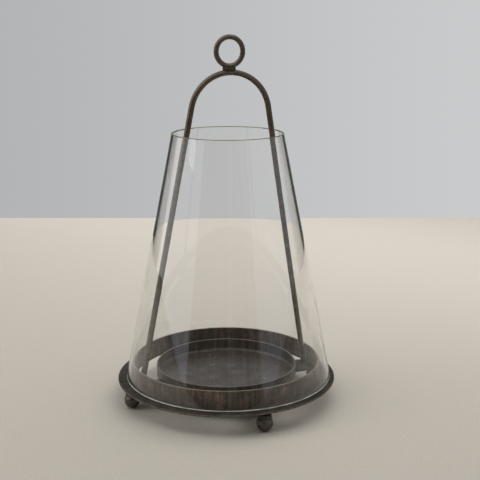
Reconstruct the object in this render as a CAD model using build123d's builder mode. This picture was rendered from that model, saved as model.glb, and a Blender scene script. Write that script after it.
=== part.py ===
"""Candle cloche: an open-topped glass shade that stands on an iron base and lifts off over its handle.

Units are millimetres. The origin is on the table, under the middle of the base, and +Z is up.
The handle's bow and the long bar under the cup lie in the XZ plane, and -Y is the front.
"""
from build123d import *
from math import cos, hypot, radians, sin
import os

# Ball feet, each at the end of a bar
ball_radius = 8.4
foot_circle_radius = 103.9
foot_gap = 1.6
foot_weld_radius = 6.9

# Cross of flat bars under the base, with rounded ends over the feet
bar_width = 28.0
bar_thickness = 3.0
bar_reach = 108.0

# Base ring: the flat flange that carries the glass, and the upright collar that keeps it in place
flange_radius = 114.3
flange_thickness = 1.9
flange_edge_round = 0.6
collar_radius = 98.3
collar_thickness = 2.0
collar_height = 18.5
collar_edge_round = 0.4

# Shallow candle cup of thin sheet
cup_radius = 73.6
cup_depth = 15.1
cup_sheet = 1.5
cup_corner_radius = 4.5
cup_edge_round = 0.4

# Handle: one round rod bent into a bow with two spreading legs, set a little askew by hand
rod_diameter = 6.0
leg_spacing = 184.6
leg_slope = 10.2
bow_height = 318.0
handle_lean = 1.15
handle_offset = -0.4

# Hanging ring, a little to one side of the crown, and the weld beads
ring_mean_radius = 14.1
ring_wire = 5.2
ring_offset = -2.0
ring_gap = 0.8
ring_weld_length = 15.0
ring_weld_width = 7.6
leg_weld_radius = 5.6
leg_weld_height = 2.6

# Glass shade: a straight cone, open at both ends, resting a little off centre within its play
shade_bottom_radius = 107.8
shade_top_radius = 57.0
shade_height = 256.0
shade_wall = 2.5
shade_edge_round = 0.8
shade_offset_x = 2.6
shade_offset_y = 0.8

# Levels worked out from the sizes above
bar_bottom = 2 * ball_radius + foot_gap
bar_top = bar_bottom + bar_thickness
flange_top = bar_top + flange_thickness
inner_radius = collar_radius - collar_thickness
foot_angles = {"right_foot": 0, "back_foot": 90, "left_foot": 180, "front_foot": 270}
arm_angles = {"back_arm": 90, "front_arm": 270}

# The bow's plane, standing on the bar: x along the bar and y up the bow, leaning a little towards +X
lean = radians(handle_lean)
handle_plane = Plane(origin=(handle_offset, 0, bar_top), x_dir=(cos(lean), 0, -sin(lean)), z_dir=(0, -1, 0))


def foot_point(angle, height):
    """The point on the circle of the feet at this angle and height."""
    turn = radians(angle)
    return (foot_circle_radius * cos(turn), foot_circle_radius * sin(turn), height)


def save(piece, name):
    """Label one finished piece and write it to its own file."""
    piece.label = name
    export_step(piece, f"parts/{name}.step")


os.makedirs("parts", exist_ok=True)

# Flat base flange, lying on the ends of the bars, with both outer edges softened
with BuildPart() as base_flange:
    with BuildSketch(Plane.XY.offset(bar_top)):
        Circle(flange_radius)
        Circle(inner_radius, mode=Mode.SUBTRACT)
    extrude(amount=flange_thickness)
    outer_edges = base_flange.edges().filter_by(GeomType.CIRCLE).group_by(SortBy.RADIUS)[-1]
    fillet(outer_edges, flange_edge_round)
save(base_flange.part, "base_flange")

# Upright collar, standing on the flange's inner edge
with BuildPart() as collar_band:
    with BuildSketch(Plane.XY.offset(flange_top)):
        Circle(collar_radius)
        Circle(inner_radius, mode=Mode.SUBTRACT)
    extrude(amount=collar_height)
    fillet(collar_band.edges().group_by(Axis.Z)[-1], collar_edge_round)
save(collar_band.part, "collar_band")

# Long bar of the cross, from the left foot to the right one
with BuildPart() as cross_bar:
    with BuildSketch(Plane.XY.offset(bar_bottom)):
        SlotOverall(2 * bar_reach, bar_width)
    extrude(amount=bar_thickness)
save(cross_bar.part, "cross_bar")

# Short arms of the cross, butted against the long bar and reaching the front and back feet
for arm_name, arm_angle in arm_angles.items():
    with BuildPart() as short_arm:
        with BuildSketch(Plane.XY.offset(bar_bottom).rotated((0, 0, arm_angle))):
            with Locations((bar_width / 2, 0)):
                Rectangle(bar_reach - bar_width, bar_width, align=(Align.MIN, Align.CENTER))
            with Locations((bar_reach - bar_width / 2, 0)):
                Circle(bar_width / 2)
        extrude(amount=bar_thickness)
    save(short_arm.part, arm_name)

# Candle cup, hollowed out of a round-cornered disc and sitting on the cross
with BuildPart() as candle_cup:
    with BuildSketch(Plane.XY.offset(bar_top)):
        Circle(cup_radius)
    extrude(amount=cup_depth)
    fillet(candle_cup.edges().sort_by(Axis.Z)[0], cup_corner_radius)
    offset(amount=-cup_sheet, openings=candle_cup.faces().sort_by(Axis.Z)[-1])
    fillet(candle_cup.edges().group_by(Axis.Z)[-1], cup_edge_round)
save(candle_cup.part, "candle_cup")

# Handle: straight legs tangent to a round bow, cut off level where they stand on the bar
slope = radians(leg_slope)
half_spacing = leg_spacing / 2
bow_radius = (half_spacing * cos(slope) - bow_height * sin(slope)) / (1 - sin(slope))
bow_centre = bow_height - bow_radius
bow_start = (bow_radius * cos(slope), bow_centre + bow_radius * sin(slope))
leg_end = (half_spacing + rod_diameter * sin(slope), -rod_diameter * cos(slope))

with BuildPart() as handle_rod:
    with BuildLine(handle_plane) as handle_path:
        Line((-leg_end[0], leg_end[1]), (-bow_start[0], bow_start[1]))
        ThreePointArc((-bow_start[0], bow_start[1]), (0, bow_height), bow_start)
        Line(bow_start, leg_end)
    with BuildSketch(Plane(origin=handle_path.line @ 0, z_dir=handle_path.line % 0)):
        Circle(rod_diameter / 2)
    sweep(path=handle_path.line)
    split(bisect_by=Plane.XY.offset(bar_top), keep=Keep.TOP)
save(handle_rod.part, "handle_rod")

# Hanging ring, standing in the bow's plane just above its crown
ring_height = bow_height + rod_diameter / 2 + ring_gap + ring_wire / 2 + ring_mean_radius
ring_centre = handle_plane.from_local_coords((ring_offset, ring_height, 0))
with BuildPart() as hanging_ring:
    with BuildSketch(Plane(origin=ring_centre, x_dir=handle_plane.x_dir, z_dir=-handle_plane.y_dir)):
        with Locations((ring_mean_radius, 0)):
            Circle(ring_wire / 2)
    revolve(axis=Axis(ring_centre, handle_plane.z_dir))
save(hanging_ring.part, "hanging_ring")

# Weld lump that joins the ring to the crown, shaped round both of them
weld_height = bow_height + (rod_diameter + ring_gap) / 2
with BuildPart() as ring_weld:
    with BuildSketch(handle_plane):
        with Locations((ring_offset, weld_height)):
            SlotOverall(ring_weld_length, ring_weld_width)
            Rectangle(ring_weld_length, ring_weld_width, align=(Align.CENTER, Align.MIN), mode=Mode.INTERSECT)
    revolve(axis=Axis(handle_plane.from_local_coords((0, weld_height, 0)), handle_plane.x_dir))
    add(handle_rod.part, mode=Mode.SUBTRACT)
    add(hanging_ring.part, mode=Mode.SUBTRACT)
save(ring_weld.part, "ring_weld")

# Weld bead round the bottom of each leg, filling its corner with the base ring
leg_x = [handle_offset - half_spacing, handle_offset + half_spacing]
with BuildPart() as leg_welds:
    with Locations([(x, 0, bar_top) for x in leg_x]):
        on_bar = (Align.CENTER, Align.CENTER, Align.MIN)
        Cone(leg_weld_radius, rod_diameter / 2, leg_weld_height, align=on_bar)
    for neighbour in (handle_rod, base_flange, collar_band):
        add(neighbour.part, mode=Mode.SUBTRACT)
save(leg_welds.part, "leg_welds")

# Four ball feet, under the ends of the cross
for foot_name, foot_angle in foot_angles.items():
    with BuildPart() as ball_foot:
        with Locations(foot_point(foot_angle, ball_radius)):
            Sphere(ball_radius)
    save(ball_foot.part, foot_name)

# Weld collar between each ball and its bar, hollowed by the ball's top
with BuildPart() as foot_welds:
    with Locations([foot_point(angle, ball_radius) for angle in foot_angles.values()]):
        Cylinder(foot_weld_radius, bar_bottom - ball_radius, align=(Align.CENTER, Align.CENTER, Align.MIN))
        Sphere(ball_radius, mode=Mode.SUBTRACT)
save(foot_welds.part, "foot_welds")

# Glass shade: the wall's section turned round the shade's own axis, with fire-polished edges
shade_spread = shade_bottom_radius - shade_top_radius
shade_level_wall = shade_wall * hypot(shade_spread, shade_height) / shade_height
shade_plane = Plane(origin=(shade_offset_x, shade_offset_y, flange_top), x_dir=(1, 0, 0), z_dir=(0, -1, 0))
with BuildPart() as glass_shade:
    with BuildSketch(shade_plane):
        with BuildLine():
            Polyline(
                (shade_bottom_radius - shade_level_wall, 0),
                (shade_bottom_radius, 0),
                (shade_top_radius, shade_height),
                (shade_top_radius - shade_level_wall, shade_height),
                close=True,
            )
        make_face()
    revolve(axis=Axis(shade_plane.origin, (0, 0, 1)))
    fillet(glass_shade.edges().filter_by(GeomType.CIRCLE), shade_edge_round)
save(glass_shade.part, "glass_shade")
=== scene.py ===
"""Looks of the candle cloche: a base, cup, bow and ring of aged iron, and a clear glass shade.

Everything is in metres, in the frame of the CAD model: +Z is up and -Y is the front.
"""
from math import cos, radians, sin

import bmesh
import bpy
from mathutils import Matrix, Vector, noise


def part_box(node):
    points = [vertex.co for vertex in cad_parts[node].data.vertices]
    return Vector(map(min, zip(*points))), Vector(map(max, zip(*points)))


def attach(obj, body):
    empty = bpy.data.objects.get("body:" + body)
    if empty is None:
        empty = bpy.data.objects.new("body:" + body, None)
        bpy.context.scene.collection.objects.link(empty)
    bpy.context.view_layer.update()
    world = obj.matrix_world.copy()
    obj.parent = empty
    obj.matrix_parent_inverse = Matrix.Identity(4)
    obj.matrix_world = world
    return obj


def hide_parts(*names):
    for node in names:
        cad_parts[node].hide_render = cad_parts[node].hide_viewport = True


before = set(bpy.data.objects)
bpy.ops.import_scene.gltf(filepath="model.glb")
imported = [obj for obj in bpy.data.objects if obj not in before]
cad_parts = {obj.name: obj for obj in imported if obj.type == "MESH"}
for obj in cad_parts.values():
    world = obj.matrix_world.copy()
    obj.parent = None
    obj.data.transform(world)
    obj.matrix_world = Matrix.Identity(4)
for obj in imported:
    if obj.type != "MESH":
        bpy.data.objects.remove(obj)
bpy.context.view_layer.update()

# Camera: seen from the front and a little from the left, looking slightly down
camera_turn = 21.77
camera_pitch = 13.35
camera_place = Vector((-0.3559, -0.9302, 0.4049))
camera_lens = 74.41
camera_sensor = 36.0

# The table top, square to the camera, and how far it reaches behind, in front and to both sides
table_back = 0.896
table_front = 1.2
table_side = 4.0

# Ways across the table, level: away from the camera, and to its right
away = Vector((sin(radians(camera_turn)), cos(radians(camera_turn)), 0))
right = Vector((away.y, -away.x, 0))
up = Vector((0, 0, 1))

# Iron colours, linear
iron_black = (0.020, 0.018, 0.016)
iron_brown = (0.074, 0.054, 0.038)
iron_rust = (0.150, 0.098, 0.060)
# A pale colour for bright edge lines: partly rubbed wear, partly painted highlight
iron_rubbed_and_highlight = (0.300, 0.260, 0.210)
weld_dark = (0.036, 0.029, 0.022)
weld_pale = (0.095, 0.076, 0.058)

# The darkest and the usual tone of each kind of iron piece
dull_tones = (0.022, 0.019, 0.016), (0.047, 0.040, 0.033)
band_tones = (0.095, 0.063, 0.047), (0.275, 0.178, 0.130)
cup_tones = (0.032, 0.026, 0.021), (0.072, 0.057, 0.045)
rod_tones = (0.062, 0.046, 0.031), (0.110, 0.082, 0.055)
ball_tones = (0.032, 0.025, 0.018), (0.074, 0.055, 0.037)

# Sizes of the patterns in the iron's skin
cloud_size = 0.018
patch_size = 0.014
run_size = 0.0045
grain_size = 0.0026
fleck_size = 0.0019
speck_size = 0.0009

# Sizes and depths of the lumps and pores in a weld bead
lump_size = 0.0028
lump_depth = 0.0008
pore_size = 0.0007
pore_depth = 0.0003

# How softly a bright edge line, partly rubbed wear and partly painted highlight, ends at the radius that it
# stays inside
bright_edge_end = 0.0002

# Glass: its colour in depth, the light that its shadow keeps, its bending of light and its slow waves
glass_deep = (0.52, 0.56, 0.40)
glass_density = 5.0
glass_shadow = (0.94, 0.945, 0.93)
glass_refraction = 1.5
wave_size = 0.05
wave_depth = 0.0004

# Rounded edges of the glass: how round, their painted colours (a pale painted glow at the foot, a dark
# olive lip that is partly the glass's depth colour and partly painted shade), how much they cover, and
# their ripple
edge_round = 0.0008
# A pale painted glow of the light that runs down inside the wall and comes out at the foot
foot_painted_glow = (0.92, 0.97, 0.84)
foot_cover = 0.9
# A dark olive at the lip: partly the glass's colour in depth, partly painted shade
lip_depth_and_painted_shade = (0.26, 0.25, 0.13)
lip_cover = 0.7
ripple_size = 0.012
ripple_depth = 0.0002

# A face of the glass counts as level when the upright part of its normal is more than this
level_face = 0.98

# The cloth on the table: its two tones and its threads
linen_dark = (0.56, 0.52, 0.46)
linen_pale = (0.64, 0.60, 0.54)
thread_size = 0.0016
thread_depth = 0.0003

# The room, as light: walls and ceiling, the dim parts that the glass and the iron mirror, a window and the
# haze beside it, and how finely the furniture in it is streaked
room_wall = (0.50, 0.51, 0.54)
room_ceiling = (0.95, 0.93, 0.90)
room_dim = (0.300, 0.250, 0.215)
room_dark = (0.050, 0.050, 0.038)
room_window = (1.10, 1.09, 1.08)
room_haze = (0.74, 0.75, 0.80)
furniture_streaks = 14.0

# How far up the room's dim parts end and its walls turn into ceiling, from level at 0 to straight up at 1
dim_end = (0.45, 0.75)
ceiling_start = (0.3, 0.9)

# The plain wall that is seen behind the object, from its left to its right, and where it turns paler
wall_left = (0.44, 0.445, 0.455)
wall_right = (0.60, 0.605, 0.61)
wall_fade = (-0.35, 0.35)

# Share of the room's light that falls on dull surfaces; the rest is the lamps' work
room_fill = 0.55

# The lamps' light, a little warm
lamp_colour = (1.0, 0.99, 0.97)


# ---------------------------------------------------------------- node helpers


class Nodes:
    """Builds the node tree of a material or a world, with a short call for each kind of node."""

    def __init__(self, owner, output_kind):
        owner.use_nodes = True
        self.tree = owner.node_tree
        self.tree.nodes.clear()
        self.output = self.add(output_kind)
        coordinates = self.add("ShaderNodeTexCoord")
        self.place = coordinates.outputs["Object"]
        self.way = coordinates.outputs["Generated"]

    def add(self, kind, **settings):
        """A new node of this kind, with its settings made."""
        node = self.tree.nodes.new(kind)
        for name, value in settings.items():
            setattr(node, name, value)
        return node

    def join(self, value, socket):
        """Put a number, a colour or another node's output into a socket."""
        if isinstance(value, bpy.types.NodeSocket):
            self.tree.links.new(value, socket)
        elif isinstance(value, tuple) and len(value) == 3 and socket.type == "RGBA":
            socket.default_value = (*value, 1)
        else:
            socket.default_value = value

    def fill(self, node, values):
        """Put values into several of a node's sockets, by their names."""
        for name, value in values.items():
            self.join(value, node.inputs[name])

    def maths(self, operation, *values):
        """The result of a sum on one to three values."""
        node = self.add("ShaderNodeMath", operation=operation)
        for value, socket in zip(values, node.inputs):
            self.join(value, socket)
        return node.outputs[0]

    def stretch(self, factors):
        """The place on the piece, stretched by a factor along each axis."""
        node = self.add("ShaderNodeVectorMath", operation="MULTIPLY")
        self.join(self.place, node.inputs[0])
        self.join(factors, node.inputs[1])
        return node.outputs[0]

    def noise(self, size, detail, roughness, place=None, distortion=0.0):
        """Noise from 0 to 1 with lumps of about this size, in metres."""
        node = self.add("ShaderNodeTexNoise")
        self.fill(node, {
            "Vector": place or self.place,
            "Scale": 1 / size,
            "Detail": detail,
            "Roughness": roughness,
            "Distortion": distortion,
        })
        return node.outputs["Fac"]

    def step(self, value, low, high, start=0.0, end=1.0):
        """A smooth step from start to end as the value goes from low to high."""
        node = self.add("ShaderNodeMapRange", interpolation_type="SMOOTHSTEP")
        self.fill(node, {"Value": value, "From Min": low, "From Max": high, "To Min": start, "To Max": end})
        return node.outputs["Result"]

    def near(self, value, level, width):
        """1 where the value is at the level, falling to 0 this far to either side."""
        distance = self.maths("ABSOLUTE", self.maths("SUBTRACT", value, level))
        return self.step(distance, 0.0, width, 1.0, 0.0)

    def mix(self, share, a, b):
        """Colour a where share is 0, and b where it is 1."""
        node = self.add("ShaderNodeMix", data_type="RGBA")
        self.join(share, node.inputs[0])
        self.join(a, node.inputs[6])
        self.join(b, node.inputs[7])
        return node.outputs[2]

    def height(self):
        """How high the place is."""
        node = self.add("ShaderNodeSeparateXYZ")
        self.join(self.place, node.inputs[0])
        return node.outputs["Z"]

    def radius(self):
        """How far the place is from the object's upright axis."""
        node = self.add("ShaderNodeVectorMath", operation="LENGTH")
        self.join(self.stretch((1, 1, 0)), node.inputs[0])
        return node.outputs["Value"]

    def along(self, direction):
        """How much of the way that is looked into a world goes along this direction."""
        node = self.add("ShaderNodeVectorMath", operation="DOT_PRODUCT")
        self.join(self.way, node.inputs[0])
        self.join(direction, node.inputs[1])
        return node.outputs["Value"]

    def bump(self, height, depth, normal=None):
        """A normal bent by a height from 0 to 1 that stands for this depth, in metres."""
        node = self.add("ShaderNodeBump")
        self.fill(node, {"Distance": depth, "Height": height})
        if normal is not None:
            self.join(normal, node.inputs["Normal"])
        return node.outputs["Normal"]

    def shader(self):
        """The shader that covers the surface."""
        node = self.add("ShaderNodeBsdfPrincipled")
        self.join(node.outputs[0], self.output.inputs["Surface"])
        return node


def new_material(name):
    """A new material and the builder of its nodes."""
    material = bpy.data.materials.new(name)
    return material, Nodes(material, "ShaderNodeOutputMaterial")


# ---------------------------------------------------------------- materials


def aged_iron(name, tones, brown_share, worn_and_highlight_edges=(), streaked=False, rough=0.5, gloss=0.5, pits=0.0002,
              speckled=0.4):
    """Blackened iron with brown patches, rust specks, pits and pale edge lines that are partly rubbed wear,
    partly painted highlight.

    The tones are its darkest and its usual colour, and brown_share goes up with how brown it is. Each
    bright edge line is (what is measured, level, width, strength, radius that it stays inside), where
    "height" or "radius" is measured;
    its pale colour is partly rubbed wear and partly painted highlight. Dark streaks run down it if it is
    streaked. The pits are given by their depth, and speckled is the strength of the rust specks.
    """
    material, nodes = new_material(name)
    shader = nodes.shader()
    clouds = nodes.noise(cloud_size, 4.0, 0.6)
    grain = nodes.noise(grain_size, 4.0, 0.6)
    specks = nodes.noise(speck_size, 2.0, 0.5)

    tone = nodes.maths("MULTIPLY_ADD", grain, 0.35, nodes.maths("MULTIPLY", clouds, 0.65))
    colour = nodes.mix(nodes.step(tone, 0.36, 0.62), *tones)

    patches = nodes.noise(patch_size, 5.0, 0.62, place=nodes.stretch((1.0, 1.0, 1.3)))
    brown = nodes.step(patches, 0.60 - brown_share * 0.4, 0.74 - brown_share * 0.3, 0.0, 0.85)
    colour = nodes.mix(brown, colour, iron_brown)

    if streaked:
        runs = nodes.noise(run_size, 3.0, 0.6, place=nodes.stretch((1.0, 1.0, 0.08)))
        colour = nodes.mix(nodes.step(runs, 0.42, 0.62, 0.6, 0.0), colour, iron_black)

    rust = nodes.maths("MULTIPLY", nodes.step(specks, 0.58, 0.72), nodes.step(clouds, 0.4, 0.62))
    colour = nodes.mix(nodes.maths("MULTIPLY", rust, speckled), colour, iron_rust)
    flecks = nodes.step(nodes.noise(fleck_size, 3.0, 0.6), 0.56, 0.66, 0.0, speckled * 0.6)
    colour = nodes.mix(flecks, colour, iron_rust)

    # Bright edge lines, in a pale colour that is partly rubbed wear and partly painted highlight
    wear_and_highlight = None
    for measured, level, width, strength, inside in worn_and_highlight_edges:
        value = nodes.height() if measured == "height" else nodes.radius()
        kept = nodes.step(nodes.radius(), inside, inside + bright_edge_end, 1.0, 0.0)
        edge = nodes.maths("MULTIPLY", nodes.near(value, level, width), kept)
        broken = nodes.maths("MULTIPLY", edge, nodes.step(grain, 0.34, 0.62, 0.25 * strength, strength))
        wear_and_highlight = broken if wear_and_highlight is None else nodes.maths("MAXIMUM", wear_and_highlight, broken)
    if wear_and_highlight is not None:
        colour = nodes.mix(wear_and_highlight, colour, iron_rubbed_and_highlight)

    nodes.fill(shader, {
        "Base Color": colour,
        "Metallic": 0.5 * gloss,
        "Specular IOR Level": gloss,
        "Roughness": nodes.step(clouds, 0.3, 0.7, rough + 0.08, rough - 0.06),
        "Normal": nodes.bump(specks, pits, nodes.bump(grain, pits * 2)),
    })
    return material


def weld_bead(name):
    """Blackened weld: rough, with ripples and rusty hollows."""
    material, nodes = new_material(name)
    shader = nodes.shader()
    lumps = nodes.noise(lump_size, 4.0, 0.6, distortion=0.5)
    pores = nodes.noise(pore_size, 3.0, 0.6)
    colour = nodes.mix(nodes.step(lumps, 0.35, 0.65), weld_dark, weld_pale)
    nodes.fill(shader, {
        "Base Color": nodes.mix(nodes.step(pores, 0.55, 0.7, 0.0, 0.6), colour, iron_rust),
        "Metallic": 0.45,
        "Roughness": nodes.step(lumps, 0.3, 0.7, 0.72, 0.5),
        "Normal": nodes.bump(pores, pore_depth, nodes.bump(lumps, lump_depth)),
    })
    return material


def clear_glass(name):
    """Clear glass, a little green-grey along its thickness, with the faint waves of blown glass."""
    material, nodes = new_material(name)
    shader = nodes.shader()
    waves = nodes.noise(wave_size, 1.0, 0.4, place=nodes.stretch((1.0, 1.0, 0.35)))
    nodes.fill(shader, {
        "Base Color": (1.0, 1.0, 1.0),
        "Roughness": 0.0,
        "IOR": glass_refraction,
        "Transmission Weight": 1.0,
        "Normal": nodes.bump(waves, wave_depth),
    })

    # Lamps and light scattered by the table pass straight through, so what is inside is lit
    path = nodes.add("ShaderNodeLightPath")
    passing = nodes.add("ShaderNodeBsdfTransparent")
    nodes.fill(passing, {"Color": glass_shadow})
    surface = shader.outputs[0]
    for kind in ("Is Diffuse Ray", "Is Shadow Ray"):
        choice = nodes.add("ShaderNodeMixShader")
        for value, socket in zip((path.outputs[kind], surface, passing.outputs[0]), choice.inputs):
            nodes.join(value, socket)
        surface = choice.outputs[0]
    nodes.join(surface, nodes.output.inputs["Surface"])

    depth = nodes.add("ShaderNodeVolumeAbsorption")
    nodes.fill(depth, {"Color": glass_deep, "Density": glass_density})
    nodes.join(depth.outputs[0], nodes.output.inputs["Volume"])
    return material


def painted_edge_glass(name, painted_colour, cover):
    """The rounded edge of the glass as an opaque colour that paints in its look: a pale painted glow at the
    foot, where light that has run down inside the wall comes out, and at the lip a dark olive that is
    partly the glass's colour in depth and partly painted shade.
    """
    material, nodes = new_material(name)
    shader = nodes.shader()
    ripple = nodes.noise(ripple_size, 2.0, 0.5)
    dimmer = tuple(0.6 * part for part in painted_colour)
    nodes.fill(shader, {
        "Base Color": nodes.mix(nodes.step(ripple, 0.35, 0.65), dimmer, painted_colour),
        "Roughness": 0.2,
        "Alpha": cover,
        "Normal": nodes.bump(ripple, ripple_depth),
    })
    return material


def linen_table(name):
    """Plain pale cloth, with a faint weave."""
    material, nodes = new_material(name)
    shader = nodes.shader()
    threads = nodes.noise(thread_size, 2.0, 0.6)
    nodes.fill(shader, {
        "Base Color": nodes.mix(nodes.step(threads, 0.3, 0.7), linen_dark, linen_pale),
        "Roughness": 0.9,
        "Normal": nodes.bump(threads, thread_depth),
    })
    return material


# ---------------------------------------------------------------- shapes


def paint(node_name, material):
    """Give a CAD piece its material."""
    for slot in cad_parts[node_name].material_slots:
        slot.material = material


def hand_made(node_name, name, body, material, voxel, dent, dent_size, rounds=6):
    """Replace a CAD piece by a finer mesh of it whose surface is uneven.

    The hollows go inwards from the CAD surface, by up to the dent, so the piece never grows. The voxel sets
    how fine the mesh is, and the rounds how often it is smoothed.
    """
    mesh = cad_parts[node_name].data.copy()
    piece = bpy.data.objects.new(name, mesh)
    bpy.context.scene.collection.objects.link(piece)
    welded = bmesh.new()
    welded.from_mesh(mesh)
    bmesh.ops.remove_doubles(welded, verts=welded.verts, dist=1e-6)
    welded.to_mesh(mesh)
    welded.free()

    remesh = piece.modifiers.new("remesh", "REMESH")
    remesh.mode = "VOXEL"
    remesh.voxel_size = voxel
    smooth = piece.modifiers.new("smooth", "SMOOTH")
    smooth.factor = 0.5
    smooth.iterations = rounds
    bpy.context.view_layer.update()
    depsgraph = bpy.context.evaluated_depsgraph_get()
    fine = bpy.data.meshes.new_from_object(piece.evaluated_get(depsgraph))
    piece.modifiers.clear()
    piece.data = fine

    normals = [v.normal.copy() for v in fine.vertices]
    for vertex, normal in zip(fine.vertices, normals):
        lump = 0.5 + 0.5 * noise.fractal(vertex.co / dent_size, 0.7, 2.0, 3)
        vertex.co -= normal * dent * max(0.0, min(1.0, lump))
    fine.materials.clear()
    fine.materials.append(material)
    for face in fine.polygons:
        face.use_smooth = True
    fine.update()

    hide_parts(node_name)
    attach(piece, body)


def blown_shade():
    """The glass shade, with its rounded edges painted: a pale painted glow on the foot, and a dark olive
    lip that is partly the glass's colour in depth and partly painted shade.
    """
    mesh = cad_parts["glass_shade"].data.copy()
    mesh.materials.clear()
    mesh.materials.append(clear_glass("glass_clear"))
    mesh.materials.append(painted_edge_glass("glass_foot_painted_glow", foot_painted_glow, foot_cover))
    mesh.materials.append(painted_edge_glass("glass_lip_depth_and_shade", lip_depth_and_painted_shade, lip_cover))
    foot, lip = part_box("glass_shade")[0].z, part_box("glass_shade")[1].z
    # Rounded faces at the foot get the painted glow; faces at the lip get the dark olive, partly depth
    # colour and partly painted shade
    for face in mesh.polygons:
        rounded = abs(face.normal.z) < level_face
        if rounded and face.center.z < foot + edge_round:
            face.material_index = 1
        elif face.center.z > lip - edge_round:
            face.material_index = 2
        else:
            face.material_index = 0
    shade = bpy.data.objects.new("glass_shade_blown", mesh)
    bpy.context.scene.collection.objects.link(shade)
    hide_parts("glass_shade")
    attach(shade, "shade")


# ---------------------------------------------------------------- the object

flange_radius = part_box("base_flange")[1].x
collar_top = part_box("collar_band")[1].z
cup_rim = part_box("candle_cup")[1].z
cup_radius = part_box("candle_cup")[1].x

# The cup's painted highlight line, where its floor bends up into its wall, above the sheet that the floor
# is made of
cup_sheet = 0.0015
bend_height = 0.0025
bend_radius = cup_radius - 0.001
cup_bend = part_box("candle_cup")[0].z + cup_sheet + bend_height

# Bright edge lines, rubbed wear and painted highlight; one all the way across stays inside a radius larger
# than the object
anywhere = 1.0
flange_wear_and_highlight = [("radius", flange_radius, 0.0008, 0.5, anywhere)]
collar_wear_and_highlight = [("height", collar_top, 0.0010, 0.6, anywhere)]
# The cup's rim line is partly rubbed wear and partly painted highlight; its bend line is a painted
# highlight
cup_wear_and_highlights = [("height", cup_rim, 0.0007, 0.5, anywhere), ("height", cup_bend, 0.0009, 1.0, bend_radius)]

paint("base_flange", aged_iron("iron_flange", dull_tones, 0.1, flange_wear_and_highlight, rough=0.58, gloss=0.12))
paint("collar_band", aged_iron("iron_collar", band_tones, 0.6, collar_wear_and_highlight, streaked=True, rough=0.38))
cup_iron = aged_iron("iron_cup", cup_tones, 0.3, cup_wear_and_highlights, streaked=True, rough=0.32, gloss=0.4,
                     pits=0.0001, speckled=0.7)
paint("candle_cup", cup_iron)
bar_iron = aged_iron("iron_bars", dull_tones, 0.4, rough=0.55, gloss=0.35)
for bar in ("cross_bar", "front_arm", "back_arm"):
    paint(bar, bar_iron)
blown_shade()

rod_iron = aged_iron("iron_rod", rod_tones, 0.2, rough=0.25, gloss=0.8, pits=0.00002, speckled=0.12)
ball_iron = aged_iron("iron_balls", ball_tones, 0.5, rough=0.24, gloss=0.85, speckled=1.0)
bead = weld_bead("iron_weld")
hand_made("handle_rod", "handle_rod_forged", "stand", rod_iron,
          voxel=0.00045, dent=0.00012, dent_size=0.006)
hand_made("hanging_ring", "hanging_ring_forged", "stand", rod_iron,
          voxel=0.0003, dent=0.00015, dent_size=0.004)
hand_made("ring_weld", "ring_weld_bead", "stand", bead,
          voxel=0.0002, dent=0.0012, dent_size=0.0024, rounds=2)
hand_made("leg_welds", "leg_weld_beads", "stand", bead,
          voxel=0.00025, dent=0.0005, dent_size=0.0018, rounds=2)
hand_made("foot_welds", "foot_weld_beads", "stand", bead,
          voxel=0.0003, dent=0.0005, dent_size=0.002, rounds=2)
for foot in ("front_foot", "right_foot", "back_foot", "left_foot"):
    hand_made(foot, foot + "_cast", "stand", ball_iron,
              voxel=0.0004, dent=0.0002, dent_size=0.004)


# ---------------------------------------------------------------- the stage


def table_top():
    """A level cloth-covered top, with its back edge square to the camera."""
    near_edge = -table_front * away
    far_edge = table_back * away
    half_width = table_side * right
    corners = [near_edge - half_width, near_edge + half_width, far_edge + half_width, far_edge - half_width]
    mesh = bpy.data.meshes.new("table_top")
    mesh.from_pydata([tuple(c) for c in corners], [], [(0, 1, 2, 3)])
    mesh.materials.append(linen_table("linen"))
    top = bpy.data.objects.new("table_top", mesh)
    bpy.context.scene.collection.objects.link(top)


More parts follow.
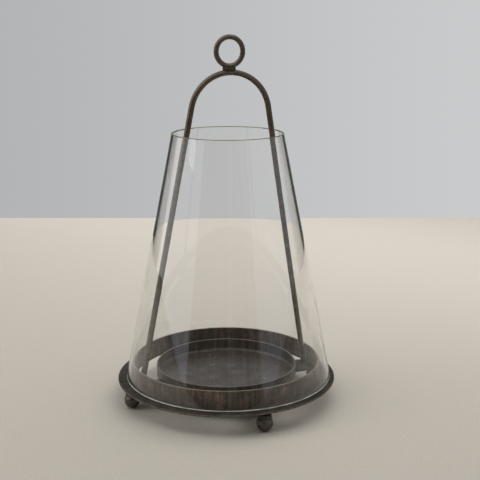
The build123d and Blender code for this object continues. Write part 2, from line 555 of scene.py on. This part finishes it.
def studio_world():
    """A pale room with dim parts, which the glass and the iron mirror.

    What is seen directly, or straight through the glass, is the plain pale wall all round instead.
    """
    world = bpy.data.worlds.new("studio")
    bpy.context.scene.world = world
    nodes = Nodes(world, "ShaderNodeOutputWorld")
    turn = nodes.maths("ARCTAN2", nodes.along(right), nodes.along(-away))
    height = nodes.along(up)
    low_down = nodes.step(height, *dim_end, 1.0, 0.0)

    def sector(first, last, soft):
        """1 between two bearings and low down, and 0 elsewhere."""
        opened = nodes.step(turn, radians(first - soft), radians(first + soft))
        closed = nodes.step(turn, radians(last - soft), radians(last + soft), 1.0, 0.0)
        return nodes.maths("MULTIPLY", nodes.maths("MULTIPLY", opened, closed), low_down)

    room = nodes.mix(nodes.step(height, *ceiling_start), room_wall, room_ceiling)
    streaks = nodes.add("ShaderNodeTexNoise", noise_dimensions="1D")
    nodes.fill(streaks, {"W": turn, "Scale": furniture_streaks})
    furniture = nodes.mix(nodes.step(streaks.outputs["Fac"], 0.3, 0.7), room_dark, room_dim)

    # Each part's first and last bearing, the softness of its sides and its colour. The bearings are in
    # degrees, counted to the right from the camera's own side of the room.
    parts = (
        (-48, 38, 2, furniture),
        (-164, -119, 4, room_dark),
        (119, 164, 4, room_dark),
        (-98, -48, 2, room_haze),
        (-119, -96, 2, room_window),
    )
    for first, last, soft, colour in parts:
        room = nodes.mix(sector(first, last, soft), room, colour)

    seen_wall = nodes.mix(nodes.step(nodes.along(right), *wall_fade), wall_left, wall_right)
    path = nodes.add("ShaderNodeLightPath")
    glossy, diffuse = path.outputs["Glossy Depth"], path.outputs["Diffuse Depth"]
    mirrored = nodes.maths("MINIMUM", nodes.maths("ADD", glossy, diffuse), 1.0)
    dulled = nodes.maths("MINIMUM", diffuse, 1.0)
    light = nodes.add("ShaderNodeBackground")
    nodes.fill(light, {
        "Color": nodes.mix(mirrored, seen_wall, room),
        "Strength": nodes.step(dulled, 0.0, 1.0, 1.0, room_fill),
    })
    nodes.join(light.outputs[0], nodes.output.inputs["Surface"])


def on_stage(place):
    """A place given as (right, away, up) from the middle of the object's foot."""
    return place[0] * right + place[1] * away + place[2] * up


def soft_box(name, place, aim, width, height, power, spread=180.0, mirrored=True):
    """A large soft lamp, turned to a point, which shows in mirrors only if it is asked to."""
    light = bpy.data.lights.new(name, "AREA")
    light.shape = "RECTANGLE"
    light.size = width
    light.size_y = height
    light.energy = power
    light.color = lamp_colour
    light.spread = radians(spread)
    lamp = bpy.data.objects.new(name, light)
    lamp.location = on_stage(place)
    lamp.rotation_euler = (on_stage(aim) - lamp.location).to_track_quat("-Z", "Y").to_euler()
    lamp.visible_camera = False
    lamp.visible_transmission = False
    lamp.visible_glossy = mirrored
    bpy.context.scene.collection.objects.link(lamp)


def camera():
    """The camera, level from side to side."""
    data = bpy.data.cameras.new("camera")
    data.lens = camera_lens
    data.sensor_width = camera_sensor
    eye = bpy.data.objects.new("camera", data)
    eye.location = camera_place
    eye.rotation_euler = (radians(90 - camera_pitch), 0, -radians(camera_turn))
    bpy.context.scene.collection.objects.link(eye)
    bpy.context.scene.camera = eye


table_top()
studio_world()
soft_box("overhead", place=(0.0, -0.15, 1.25), aim=(0.0, 0.0, 0.0), width=1.5, height=1.2, power=4.35)
soft_box("left_window", place=(-1.5, -0.3, 0.95), aim=(-1.1, 0.0, 0.0), width=0.6, height=1.6, power=6.3)
soft_box("far_window", place=(0.15, 0.95, 0.9), aim=(0.05, 0.8, 0.0), width=2.2, height=0.5, power=4.6,
         spread=110.0, mirrored=False)
camera()
bpy.context.scene.view_settings.view_transform = "Standard"
